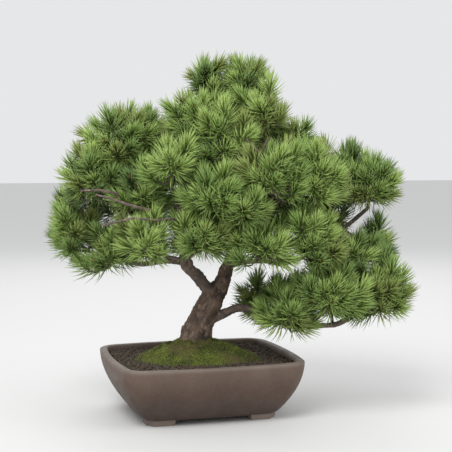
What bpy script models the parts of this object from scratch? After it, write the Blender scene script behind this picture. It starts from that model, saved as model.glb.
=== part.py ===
"""A mugo pine bonsai in an unglazed stoneware pot.

The tree is shown from a little to the left of the pot's front. Limbs and foliage are set out
in that view: across to the right, out toward the viewer, up from the table, in millimetres.
view_point turns those into the pot's frame: X along the pot, front toward -Y, Z up, metres.
"""
import math
import random

import bmesh
import bpy
from mathutils import Vector
from mathutils.bvhtree import BVHTree

MM = 0.001
CLEAR = 0.3 * MM                    # gap between neighbouring pieces

# Where the pot's centre stands, so that the whole plant's box is centred on the origin
POT_CENTRE = Vector((-0.0478, 0.0070))
VIEW_TURN = math.radians(16.2)      # turn from the pot's front to the tree's best side

# Pot: a bowed rectangle with round corners, narrowing to its foot
RIM_HEIGHT = 96 * MM
RIM_HALF = (145.7 * MM, 126.9 * MM)
RIM_CORNER = 27 * MM
RIM_BOW = (9.0 * MM, 10.3 * MM)
BASE_HALF = (109.5 * MM, 91.2 * MM)
BASE_CORNER = 20 * MM
BASE_BOW = (3.0 * MM, 3.0 * MM)
WALL = 12 * MM
FLOOR_THICKNESS = 10 * MM
FOOT_HEIGHT = 9 * MM
FOOT_LENGTH = 47 * MM
FOOT_DEPTH = 38 * MM
FOOT_CHAMFER = 14 * MM
DRAIN_RADIUS = 11 * MM
DRAIN_SPACING = 92 * MM
CORNER_STEPS = 4
SIDE_STEPS = 3

# Soil and moss
SOIL_TOP = 89 * MM
SOIL_GAP = 1.2 * MM                 # at the sides: the pot's faceted wall bulges between its rings
MOSS_CENTRE = (-5, 8)               # across, out, in mm
MOSS_HALF = (102, 70)
MOSS_RISE = 40
MOSS_EDGE = 2.5

# Foliage: a spray is a slim core along a shoot with needles standing out of it
SHOOT_LENGTH = 28 * MM
CORE_RADIUS = 8 * MM
CORE_SHAPE = ((0.28, 1.0), (0.72, 0.95))  # share of the shoot, swelling
CORE_SIDES = 3
NEEDLE_LENGTH = 38 * MM
NEEDLE_ROOT = 3.0 * MM
LEAN_LOW = 92                       # degrees off the shoot, at its foot and at its top
LEAN_TOP = 14
TWIG_RADIUS = 1.8 * MM
TWIG_BEND = 4 * MM
STEM_RADIUS = 2.8 * MM
STEM_START = 7 * MM
STEM_ARCH = 3 * MM
HUB_DROP = 0.55                     # hub below the centre, as a share of the half height
UPWARD = 0.55                       # how far shoots turn up
LOWEST_AIM = -0.5
TOP_PLACE = (0.5, 0.75)             # shoot tips, as a share of the way out to the ellipsoid
HEART_SHARE = 0.68                  # the heart of a mass, as a share of its ellipsoid
HEART_UNEVEN = (0.85, 1.15)
TUFT_REACH = (0.88, 1.08)           # tips of the tufts on the heart, as a share of the ellipsoid
TUFT_ROOT = 7 * MM
TUFT_LOWEST = -0.55                 # tufts stand on faces that look up, or down by this much
TUFT_SHARE = 0.78                   # of the heart's faces
TUFT_CLEAR = 22 * MM                # bare ring round a spray
OVERHANG = 1.1                      # needles may pass the mass's ellipsoid by this much
SPRAY_SPACING = 34 * MM
CANDIDATES = 200

# Limbs: parent, then points of (across, out, up, diameter) in mm. A bough's first point lies
# on its parent's axis, and the bough is cut clear of the parent's bark.
TRUNK = [(-12, 0, 89.3, 76), (-8, 0, 114, 58), (1, 0, 144, 47), (16, 0, 177, 42),
         (29, -2, 200, 34), (39, -4, 217, 27), (50, -8, 247, 21), (63, -6, 290, 18),
         (72, 4, 355, 14), (79, 9, 424, 11), (72, 6, 476, 8), (67, 2, 506, 5)]
BOUGHS = {
    "bough_left_leader": ("trunk", [(24, 0, 192, 24), (-1, 6, 224, 21), (-24, 14, 253, 17),
                                    (-19, -8, 300, 12), (-38, -24, 352, 9), (-66, -16, 400, 7),
                                    (-94, -4, 425, 5)]),
    "bough_left_low": ("bough_left_leader", [(-21, 13, 249, 11), (-55, 16, 252, 10),
                                             (-97, 8, 246, 8), (-146, -4, 256, 6)]),
    "bough_left_mid": ("bough_left_leader", [(-21, 3, 276, 9), (-38, 16, 308, 8.5),
                                             (-70, 22, 322, 7.5), (-108, 24, 328, 6)]),
    "bough_low_front": ("bough_left_leader", [(-14, 10, 240, 9), (-14, 38, 254, 8),
                                              (-26, 62, 258, 6)]),
    "bough_right_low": ("trunk", [(8, 0, 146, 20), (42, 4, 164, 15), (70, 12, 174, 13),
                                  (116, 20, 165, 12), (170, 30, 150, 10), (217, 36, 149, 9),
                                  (246, 38, 161, 7.5), (268, 38, 172, 6)]),
    "bough_right_mid": ("trunk", [(50, -8, 240, 9), (76, 20, 250, 8), (104, 44, 254, 7.5),
                                  (134, 62, 251, 7), (152, 68, 258, 6)]),
    "bough_right_up": ("trunk", [(64, -5, 298, 10.5), (118, -24, 284, 9.5), (176, -30, 279, 9),
                                 (226, -27, 290, 8), (250, -23, 310, 7), (280, -17, 336, 6)]),
    "bough_right_top": ("bough_right_up", [(196, -31, 281, 7), (222, -42, 322, 6),
                                           (230, -54, 366, 5)]),
    "bough_front": ("trunk", [(66, -3, 312, 8.5), (58, 36, 320, 7.5), (46, 72, 326, 6)]),
    "bough_right_front": ("trunk", [(71, 3, 346, 8.5), (104, 42, 344, 7.5), (146, 66, 348, 6)]),
    "bough_right_high": ("trunk", [(78, 8, 412, 7.5), (94, 20, 432, 6.5), (112, 26, 446, 5)]),
    "bough_upper_left": ("trunk", [(77, 8, 436, 7), (46, 24, 442, 6), (20, 34, 448, 5)]),
    "bough_back": ("trunk", [(66, -3, 318, 9), (54, -48, 312, 8), (40, -88, 308, 6)]),
    "bough_back_right": ("trunk", [(73, 5, 362, 8.5), (104, -40, 360, 7.5), (136, -68, 366, 6)]),
    "bough_centre_left": ("trunk", [(75, 7, 386, 8), (32, 34, 384, 7), (-10, 66, 386, 5.5)]),
    "bough_back_left": ("trunk", [(76, 8, 398, 7.5), (40, -40, 398, 6.5), (10, -72, 402, 5)]),
}

# Foliage masses: centre (across, out, up), half sizes (across, out, up), sprays, and the limb
# and the share of its length where the stem starts
MASSES = {
    "foliage_apex_left": ((10, 5, 552), (30, 32, 45), 1, "trunk", 0.95),
    "foliage_apex_right": ((73, 0, 540), (44, 46, 54), 2, "trunk", 1.0),
    "foliage_apex_back": ((42, -66, 526), (48, 42, 48), 1, "trunk", 0.97),
    "foliage_upper_left": ((-6, 45, 484), (50, 48, 48), 1, "bough_upper_left", 1.0),
    "foliage_upper_front": ((38, 78, 448), (46, 46, 44), 1, "bough_upper_left", 0.6),
    "foliage_right_crest": ((104, 48, 494), (42, 44, 42), 1, "bough_right_high", 0.8),
    "foliage_right_slope": ((152, 8, 444), (48, 48, 38), 1, "bough_right_high", 1.0),
    "foliage_left_top": ((-126, 10, 456), (54, 52, 50), 2, "bough_left_leader", 1.0),
    "foliage_left_top_back": ((-80, -76, 464), (46, 48, 46), 1, "bough_left_leader", 0.93),
    "foliage_left_side": ((-166, 30, 386), (58, 54, 58), 2, "bough_left_mid", 1.0),
    "foliage_front_left": ((-37, 116, 412), (40, 40, 38), 1, "bough_centre_left", 1.0),
    "foliage_left_inner": ((-86, 52, 368), (50, 46, 50), 1, "bough_left_mid", 0.75),
    "foliage_far_left": ((-207, -15, 297), (51, 56, 57), 2, "bough_left_low", 1.0),
    "foliage_left_heart": ((-106, 0, 412), (42, 46, 36), 1, "bough_left_leader", 0.88),
    "foliage_left_under": ((-146, 22, 268), (46, 46, 42), 1, "bough_left_low", 0.85),
    "foliage_low_left": ((-86, 86, 291), (46, 48, 40), 1, "bough_low_front", 1.0),
    "foliage_low_centre": ((2, 92, 296), (58, 52, 42), 2, "bough_low_front", 0.75),
    "foliage_centre_left": ((22, 114, 368), (46, 50, 48), 1, "bough_front", 1.0),
    "foliage_centre": ((70, 112, 350), (38, 48, 42), 1, "bough_front", 0.7),
    "foliage_centre_right": ((122, 112, 390), (52, 54, 56), 2, "bough_right_front", 0.8),
    "foliage_right_front": ((190, 92, 386), (50, 50, 52), 1, "bough_right_front", 1.0),
    "foliage_right_spikes": ((228, -56, 400), (44, 46, 44), 1, "bough_right_top", 1.0),
    "foliage_right_upper": ((281, -14, 376), (58, 54, 54), 2, "bough_right_up", 1.0),
    "foliage_mid_left": ((102, 96, 288), (50, 48, 44), 1, "bough_right_mid", 0.7),
    "foliage_mid_right": ((174, 82, 288), (52, 50, 52), 1, "bough_right_mid", 1.0),
    "foliage_right_inner": ((246, 26, 266), (46, 44, 38), 1, "bough_right_up", 0.66),
    "foliage_right_small": ((299, -46, 272), (42, 44, 36), 1, "bough_right_up", 0.78),
    "foliage_low_back": ((108, -34, 182), (52, 48, 48), 1, "bough_right_low", 0.36),
    "foliage_low_front": ((138, 62, 174), (54, 46, 44), 1, "bough_right_low", 0.46),
    "foliage_low_middle": ((203, 84, 206), (54, 48, 54), 1, "bough_right_low", 0.66),
    "foliage_low_end": ((295, 40, 204), (54, 52, 60), 2, "bough_right_low", 1.0),
    "foliage_low_right_back": ((222, -68, 208), (54, 46, 42), 1, "bough_right_low", 0.8),
    "foliage_centre_back": ((50, -46, 398), (48, 36, 46), 1, "bough_back_left", 0.42),
    "foliage_back_top": ((66, -92, 458), (60, 52, 50), 1, "trunk", 0.84),
    "foliage_back_left": ((-24, -104, 408), (62, 56, 56), 1, "bough_back_left", 1.0),
    "foliage_back_left_low": ((-112, -98, 352), (56, 52, 50), 1, "bough_left_leader", 0.62),
    "foliage_back_low": ((-6, -132, 320), (54, 52, 44), 1, "bough_back", 1.0),
    "foliage_back_right": ((146, -98, 404), (56, 52, 50), 1, "bough_back_right", 1.0),
    "foliage_back_right_low": ((112, -142, 322), (50, 48, 46), 1, "bough_back", 0.75),
    "foliage_back_right_side": ((208, -104, 322), (54, 50, 46), 1, "bough_back_right", 0.8),
}


def view_point(across, out, up):
    """Turns a place in the tree's view, in mm, into the pot's frame, in metres."""
    x = across * math.cos(VIEW_TURN) - out * math.sin(VIEW_TURN)
    y = -across * math.sin(VIEW_TURN) - out * math.cos(VIEW_TURN)
    return Vector((x * MM + POT_CENTRE.x, y * MM + POT_CENTRE.y, up * MM))


def clear_scene():
    for old in list(bpy.data.objects):
        bpy.data.objects.remove(old, do_unlink=True)


def material(name, colour, roughness):
    mat = bpy.data.materials.new(name)
    mat.use_nodes = True
    shader = mat.node_tree.nodes["Principled BSDF"]
    shader.inputs["Base Color"].default_value = (*colour, 1)
    shader.inputs["Roughness"].default_value = roughness
    shader.inputs["Metallic"].default_value = 0
    mat.diffuse_color = (*colour, 1)
    return mat


def add_object(name, verts, faces, mat=None):
    """A mesh object with its faces turned outwards."""
    mesh = bpy.data.meshes.new(name)
    mesh.from_pydata([tuple(v) for v in verts], [], faces)
    bm = bmesh.new()
    bm.from_mesh(mesh)
    bmesh.ops.recalc_face_normals(bm, faces=bm.faces)
    bm.to_mesh(mesh)
    bm.free()
    obj = bpy.data.objects.new(name, mesh)
    bpy.context.scene.collection.objects.link(obj)
    if mat:
        mesh.materials.append(mat)
    return obj


def loft(rings):
    """Closed skin of triangles over rings of equal count, capped at both ends."""
    count = len(rings[0])
    verts = [v for ring in rings for v in ring]
    faces = [tuple(reversed(range(count))), tuple(range(len(verts) - count, len(verts)))]
    for row in range(len(rings) - 1):
        for k in range(count):
            a = row * count + k
            b = row * count + (k + 1) % count
            faces += [(a, b, b + count), (a, b + count, a + count)]
    return verts, faces


def combine(obj, others, operation):
    """Joins or cuts an object with others by one Boolean on a collection, then removes them."""
    group = bpy.data.collections.new("operands")
    for other in others:
        group.objects.link(other)
    boolean = obj.modifiers.new("boolean", "BOOLEAN")
    boolean.operation = operation
    boolean.operand_type = "COLLECTION"
    boolean.collection = group
    boolean.solver = "EXACT"
    bpy.context.view_layer.update()
    evaluated = obj.evaluated_get(bpy.context.evaluated_depsgraph_get())
    mesh = bpy.data.meshes.new_from_object(evaluated)
    obj.modifiers.clear()
    obj.data = mesh
    for other in others:
        bpy.data.objects.remove(other, do_unlink=True)
    bpy.data.collections.remove(group)
    keep_main_shell(obj)


def keep_main_shell(obj):
    """Drops loose scraps and sealed hollows that a Boolean leaves."""
    bm = bmesh.new()
    bm.from_mesh(obj.data)
    bmesh.ops.remove_doubles(bm, verts=bm.verts, dist=0.005 * MM)
    bmesh.ops.dissolve_degenerate(bm, dist=0.002 * MM, edges=bm.edges)
    seen = set()
    shells = []
    for start in bm.verts:
        if start in seen:
            continue
        seen.add(start)
        shell = [start]
        for vert in shell:
            for edge in vert.link_edges:
                other = edge.other_vert(vert)
                if other not in seen:
                    seen.add(other)
                    shell.append(other)
        shells.append(shell)
    shells.sort(key=len)
    bmesh.ops.delete(bm, geom=[v for shell in shells[:-1] for v in shell], context="VERTS")
    bmesh.ops.triangulate(bm, faces=bm.faces)
    bm.to_mesh(obj.data)
    bm.free()


# Pot, soil and moss

def pot_outline(height, inset):
    """Points round the pot at a height, drawn in from its outer face by inset."""
    share = ((RIM_HEIGHT - height) / (RIM_HEIGHT - FOOT_HEIGHT)) ** 2
    half = [r + (b - r) * share - inset for r, b in zip(RIM_HALF, BASE_HALF)]
    bow = [r + (b - r) * share for r, b in zip(RIM_BOW, BASE_BOW)]
    corner = max(RIM_CORNER + (BASE_CORNER - RIM_CORNER) * share - inset, 4 * MM)
    centres = [(half[0] - corner, half[1] - corner), (corner - half[0], half[1] - corner),
               (corner - half[0], corner - half[1]), (half[0] - corner, corner - half[1])]
    arcs = []
    for quarter, (cx, cy) in enumerate(centres):
        for step in range(CORNER_STEPS + 1):
            turn = (quarter + step / CORNER_STEPS) * math.pi / 2
            arcs.append((cx + corner * math.cos(turn), cy + corner * math.sin(turn)))
    points = []
    for k, (x, y) in enumerate(arcs):
        points.append((x, y))
        if k % (CORNER_STEPS + 1) == CORNER_STEPS:
            nx, ny = arcs[(k + 1) % len(arcs)]
            for step in range(1, SIDE_STEPS):
                points.append((x + (nx - x) * step / SIDE_STEPS, y + (ny - y) * step / SIDE_STEPS))
    ring = []
    for x, y in points:
        bow_x = bow[0] * (1 - (y / half[1]) ** 2) * min(1, abs(x) / half[0]) ** 8
        bow_y = bow[1] * (1 - (x / half[0]) ** 2) * min(1, abs(y) / half[1]) ** 8
        ring.append(Vector((x + math.copysign(bow_x, x) + POT_CENTRE.x,
                            y + math.copysign(bow_y, y) + POT_CENTRE.y, height)))
    return ring


def foot_block(side_x, side_y):
    """One corner foot: a low block with a chamfered outer corner, narrower at the table."""
    far_x, far_y = BASE_HALF[0] - MM, BASE_HALF[1] - MM
    plan = [(far_x - FOOT_LENGTH, far_y), (far_x - FOOT_CHAMFER, far_y),
            (far_x, far_y - FOOT_CHAMFER), (far_x, far_y - FOOT_DEPTH),
            (far_x - FOOT_LENGTH, far_y - FOOT_DEPTH)]
    middle = (far_x - FOOT_LENGTH / 2, far_y - FOOT_DEPTH / 2)
    rings = []
    for height, scale in ((0, 0.92), (FOOT_HEIGHT + 3 * MM, 1.0)):
        rings.append([Vector((side_x * (middle[0] + (x - middle[0]) * scale) + POT_CENTRE.x,
                              side_y * (middle[1] + (y - middle[1]) * scale) + POT_CENTRE.y,
                              height)) for x, y in plan])
    return add_object("foot", *loft(rings))


def drain_cutter(side):
    centre = Vector((side * DRAIN_SPACING / 2 + POT_CENTRE.x, POT_CENTRE.y, 0))
    turns = [2 * math.pi * k / 12 for k in range(12)]
    circle = [centre + DRAIN_RADIUS * Vector((math.cos(a), math.sin(a), 0)) for a in turns]
    heights = (0, FOOT_HEIGHT + FLOOR_THICKNESS + 5 * MM)
    return add_object("drain", *loft([[p + Vector((0, 0, z)) for p in circle] for z in heights]))


def make_pot(mat):
    outside = [(FOOT_HEIGHT, 2.0 * MM), (FOOT_HEIGHT + 1.5 * MM, 0), (24 * MM, 0), (46 * MM, 0),
               (70 * MM, 0), (RIM_HEIGHT - 2.5 * MM, 0)]
    rim = [(RIM_HEIGHT, 2 * MM), (RIM_HEIGHT, WALL - 1.5 * MM), (RIM_HEIGHT - 1.5 * MM, WALL)]
    inner_floor = FOOT_HEIGHT + FLOOR_THICKNESS
    inside = [(z, WALL) for z in (SOIL_TOP - 3 * MM, 52 * MM, inner_floor)]
    rings = [pot_outline(height, inset) for height, inset in outside + rim + inside]
    pot = add_object("pot", *loft(rings), mat)
    combine(pot, [foot_block(sx, sy) for sx in (-1, 1) for sy in (-1, 1)], "UNION")
    combine(pot, [drain_cutter(side) for side in (-1, 1)], "DIFFERENCE")
    return pot


def make_soil(mat):
    inner_floor = FOOT_HEIGHT + FLOOR_THICKNESS
    beside = WALL + SOIL_GAP
    levels = [(inner_floor + CLEAR, beside), (52 * MM, beside), (SOIL_TOP - 3 * MM, beside),
              (SOIL_TOP, beside + 5 * MM)]
    return add_object("soil", *loft([pot_outline(z, inset) for z, inset in levels]), mat)


def make_moss(mat, trunk):
    """A mound of moss round the foot of the trunk, cut clear of its bark."""
    rings_out, sides = 5, 26
    bottom = SOIL_TOP / MM + 0.3
    draw = random.Random(7)
    verts = [view_point(*MOSS_CENTRE, bottom), view_point(*MOSS_CENTRE, bottom + MOSS_RISE)]
    faces = []
    for ring in range(1, rings_out + 1):
        share = ring / rings_out
        for k in range(sides):
            turn = 2 * math.pi * k / sides
            wobble = 1 + 0.05 * math.sin(3 * turn + 1) + 0.03 * math.sin(7 * turn)
            across = MOSS_CENTRE[0] + MOSS_HALF[0] * share * wobble * math.cos(turn)
            out = MOSS_CENTRE[1] + MOSS_HALF[1] * share * wobble * math.sin(turn)
            rise = MOSS_EDGE + (MOSS_RISE - MOSS_EDGE) * (1 - share ** 1.2)
            rise += draw.uniform(-1, 1) * 1.2 * min(1, 3 * (1 - share))
            verts.append(view_point(across, out, bottom + rise))
    low = len(verts)
    for k in range(sides):
        edge = verts[2 + (rings_out - 1) * sides + k]
        verts.append(Vector((edge.x, edge.y, bottom * MM)))
    for k in range(sides):
        nxt = (k + 1) % sides
        faces.append((1, 2 + k, 2 + nxt))
        faces.append((0, low + nxt, low + k))
        for ring in range(rings_out - 1):
            a, b = 2 + ring * sides + k, 2 + ring * sides + nxt
            faces.append((a, a + sides, b + sides, b))
        a, b = low - sides + k, low - sides + nxt
        faces.append((a, low + k, low + nxt, b))
    moss = add_object("moss", verts, faces, mat)
    combine(moss, [trunk.copy_mesh(3 * CLEAR)], "DIFFERENCE")
    return moss


# Limbs

class Limb:
    """A tapering limb along a smooth path through its points."""

    def __init__(self, points, sides, steps, flare=0.0):
        self.sides = sides
        self.flare = flare
        control = [(view_point(*p[:3]), p[3] * MM / 2) for p in points]
        self.path = []
        self.radii = []
        for k in range(len(control) - 1):
            around = [control[min(max(j, 0), len(control) - 1)] for j in (k - 1, k, k + 1, k + 2)]
            for step in range(steps):
                self._add(around, step / steps)
        self._add(around, 1.0)
        self.lengths = [0.0]
        for a, b in zip(self.path, self.path[1:]):
            self.lengths.append(self.lengths[-1] + (b - a).length)

    def _add(self, around, t):
        (p0, r0), (p1, r1), (p2, r2), (p3, r3) = around
        self.path.append(0.5 * (2 * p1 + (p2 - p0) * t + (2 * p0 - 5 * p1 + 4 * p2 - p3) * t * t
                                + (3 * p1 - p0 - 3 * p2 + p3) * t ** 3))
        self.radii.append(r1 + (r2 - r1) * t)

    def tangent(self, k):
        last = len(self.path) - 1
        return (self.path[min(k + 1, last)] - self.path[max(k - 1, 0)]).normalized()

    def at(self, share):
        """Point, direction and radius at a share of the limb's length."""
        want = share * self.lengths[-1]
        k = 0
        while k < len(self.path) - 2 and self.lengths[k + 1] < want:
            k += 1
        t = (want - self.lengths[k]) / (self.lengths[k + 1] - self.lengths[k])
        point = self.path[k].lerp(self.path[k + 1], t)
        radius = self.radii[k] + (self.radii[k + 1] - self.radii[k]) * t
        return point, self.tangent(k).lerp(self.tangent(k + 1), t).normalized(), radius

    def rings(self, extra=0.0):
        side = Vector((1, 0, 0))
        rings = []
        last = len(self.path) - 1
        for k, (point, radius) in enumerate(zip(self.path, self.radii)):
            along = Vector((0, 0, 1)) if self.flare and k == 0 else self.tangent(k)
            side = (side - along * side.dot(along)).normalized()
            across = along.cross(side)
            centre = point + along * (extra if k == last else -extra if k == 0 else 0)
            ring = []
            for j in range(self.sides):
                turn = 2 * math.pi * j / self.sides
                swell = self.root_swell(turn, point.z)
                spoke = side * math.cos(turn) + across * math.sin(turn)
                ring.append(centre + spoke * (radius * swell + extra))
            rings.append(ring)
        return rings

    def root_swell(self, turn, height):
        """Roots spread from the foot of the trunk in a few low ridges."""
        if not self.flare:
            return 1.0
        low = max(0.0, 1 - (height - SOIL_TOP) / (45 * MM))
        ridges = 0.6 * math.cos(3 * turn + 0.6) + 0.4 * math.cos(5 * turn + 2.0)
        return 1 + self.flare * low * ridges

    def copy_mesh(self, extra):
        return add_object("fat_copy", *loft(self.rings(extra)))

    def clearance(self, start, end):
        """Smallest distance from the limb's bark to a straight stretch."""
        best = 1.0
        for a, b, ra, rb in zip(self.path, self.path[1:], self.radii, self.radii[1:]):
            gap, _, share = segment_gap(start, end, a, b)
            best = min(best, gap - (ra + (rb - ra) * share))
        return best


def segment_gap(p, q, a, b):
    """Distance between two straight stretches, and the shares along both where it is."""
    u, v, w = q - p, b - a, p - a
    uu, uv, vv, uw, vw = u.dot(u), u.dot(v), v.dot(v), u.dot(w), v.dot(w)
    det = uu * vv - uv * uv
    s = 0.0 if det < 1e-12 else min(1.0, max(0.0, (uv * vw - vv * uw) / det))
    t = 0.0 if vv < 1e-12 else (uv * s + vw) / vv
    t = min(1.0, max(0.0, t))
    if uu > 1e-12:
        s = min(1.0, max(0.0, (uv * t - uw) / uu))
    return ((p + u * s) - (a + v * t)).length, s, t


def make_limbs(bark):
    limbs = {"trunk": Limb(TRUNK, 12, 2, flare=0.22)}
    add_object("trunk", *loft(limbs["trunk"].rings()), bark)
    for name, (parent, points) in BOUGHS.items():
        limbs[name] = Limb(points, 6, 2)
        bough = add_object(name, *loft(limbs[name].rings()), bark)
        combine(bough, [limbs[parent].copy_mesh(CLEAR)], "DIFFERENCE")
    return limbs


# Foliage

class Mass:
    """One mass of foliage: the space it keeps to, its stem and its sprays."""

    def __init__(self, name, spec):
        centre, half, self.sprays, self.limb, self.share = spec
        self.name = name
        self.centre = view_point(*centre)
        self.half = Vector(half) * MM
        self.walls = []

    def local(self, point):
        """A point in the mass's own axes: across, out, up."""
        d = point - self.centre
        return Vector((d.x * math.cos(VIEW_TURN) - d.y * math.sin(VIEW_TURN),
                       -d.x * math.sin(VIEW_TURN) - d.y * math.cos(VIEW_TURN), d.z))

    def world(self, local):
        return self.centre + Vector((local.x * math.cos(VIEW_TURN) - local.y * math.sin(VIEW_TURN),
                                     -local.x * math.sin(VIEW_TURN) - local.y * math.cos(VIEW_TURN),
                                     local.z))

    def reach(self, direction):
        """Half size of the mass's ellipsoid along a direction."""
        d = self.local(self.centre + direction)
        return Vector((d.x * self.half.x, d.y * self.half.y, d.z * self.half.z)).length

    def add_wall(self, other):
        """A flat wall between two masses, shared out by their sizes."""
        way = (other.centre - self.centre)
        distance = way.length
        way.normalize()
        mine, theirs = self.reach(way), other.reach(way)
        self.walls.append((way, (self.centre + way * distance * mine / (mine + theirs)).dot(way)))

    def room(self, point):
        """How far inside the mass's walls a point lies."""
        return min(limit - way.dot(point) for way, limit in self.walls)

    def spread(self, point):
        d = self.local(point)
        return math.sqrt((d.x / self.half.x) ** 2 + (d.y / self.half.y) ** 2
                         + (d.z / self.half.z) ** 2)


def tube(points, radii, sides):
    """A thin limb through a few points, its first ring square to the first stretch."""
    rings = []
    side = Vector((0.31, 0.87, 0.38))
    for k, point in enumerate(points):
        ahead = points[min(k + 1, len(points) - 1)] - points[k]
        behind = points[k] - points[max(k - 1, 0)]
        along = (ahead.normalized() if k == 0 else behind.normalized() if k == len(points) - 1
                 else (ahead.normalized() + behind.normalized()).normalized())
        side = (side - along * side.dot(along)).normalized()
        across = along.cross(side)
        rings.append([point + (side * math.cos(2 * math.pi * j / sides)
                               + across * math.sin(2 * math.pi * j / sides)) * radii[k]
                      for j in range(sides)])
    return loft(rings)


def stem_path(mass, limb):
    """From just clear of the limb, square to its bark, to the mass's hub."""
    point, along, radius = limb.at(mass.share)
    hub = mass.centre - Vector((0, 0, HUB_DROP * mass.half.z))
    if mass.share >= 1.0:
        start = point + along * CLEAR
        away = along
    else:
        away = hub - point
        away = (away - along * away.dot(along)).normalized()
        start = point + away * (radius * math.cos(math.pi / limb.sides) + CLEAR)
    first = start + away * STEM_START
    return [start, first, first.lerp(hub, 0.5) + Vector((0, 0, STEM_ARCH)), hub]


class Spray:
    """A twig off the stem and the shoot that it ends in."""

    def __init__(self, root, base, way, roll):
        self.root, self.base, self.way, self.roll = root, base, way, roll
        self.bend = root.lerp(base, 0.55) - way * TWIG_BEND
        self.top = base + way * SHOOT_LENGTH
        self.wood = [(root, self.bend, TWIG_RADIUS), (self.bend, base, TWIG_RADIUS),
                     (base, self.top, CORE_RADIUS)]


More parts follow.
